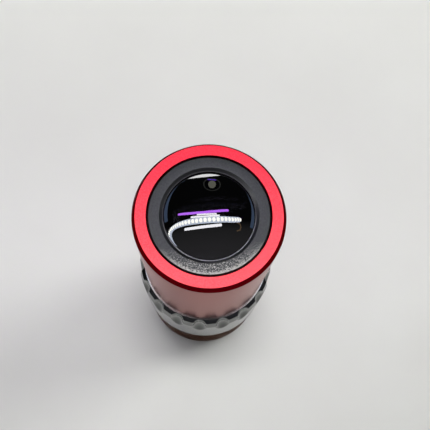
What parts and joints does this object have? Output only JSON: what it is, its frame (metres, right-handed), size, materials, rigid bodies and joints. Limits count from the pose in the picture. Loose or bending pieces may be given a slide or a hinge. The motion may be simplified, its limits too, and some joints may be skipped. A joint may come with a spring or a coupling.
{
  "type": "microscope objective",
  "caption": "Upright microscope objective with a red sleeve, domed coated front lens, fluted bright grip ring and a threaded mount end.",
  "frame": {"origin": "centre of the rear end face of the mounting thread, which the object stands on", "axes": "+Z along the optical axis, from the thread towards the front lens"},
  "size_m": [0.0312, 0.0312, 0.0826],
  "materials": {
    "red_anodised_sleeve": "red anodised, bead-blasted front face, polished side",
    "black_anodised": "black anodised satin",
    "coated_glass": "polished, anti-reflection coated",
    "clear_glass": "polished",
    "shim_steel": "ground",
    "bright_plating": "bright plating, satin sheen",
    "mount_brass": "turned brass, slightly aged"
  },
  "bodies": {
    "root": {"outer_sleeve": "red_anodised_sleeve", "front_retaining_ring": "black_anodised", "front_lens": "coated_glass", "front_spacer": "black_anodised", "crown_lens_a": "clear_glass", "flint_lens_a": "clear_glass", "middle_spacer": "black_anodised", "crown_lens_b": "clear_glass", "flint_lens_b": "clear_glass", "stop_spacer": "black_anodised", "aperture_stop": "black_anodised", "lens_barrel": "black_anodised", "parfocal_shim": "shim_steel", "grip_ring": "bright_plating", "mount_body": "mount_brass", "rear_cell": "black_anodised", "rear_crown_lens": "clear_glass", "rear_flint_lens": "coated_glass", "rear_retaining_ring": "black_anodised", "rear_baffle": "black_anodised", "cell_lock_ring": "black_anodised"}
  },
  "joints": []
}
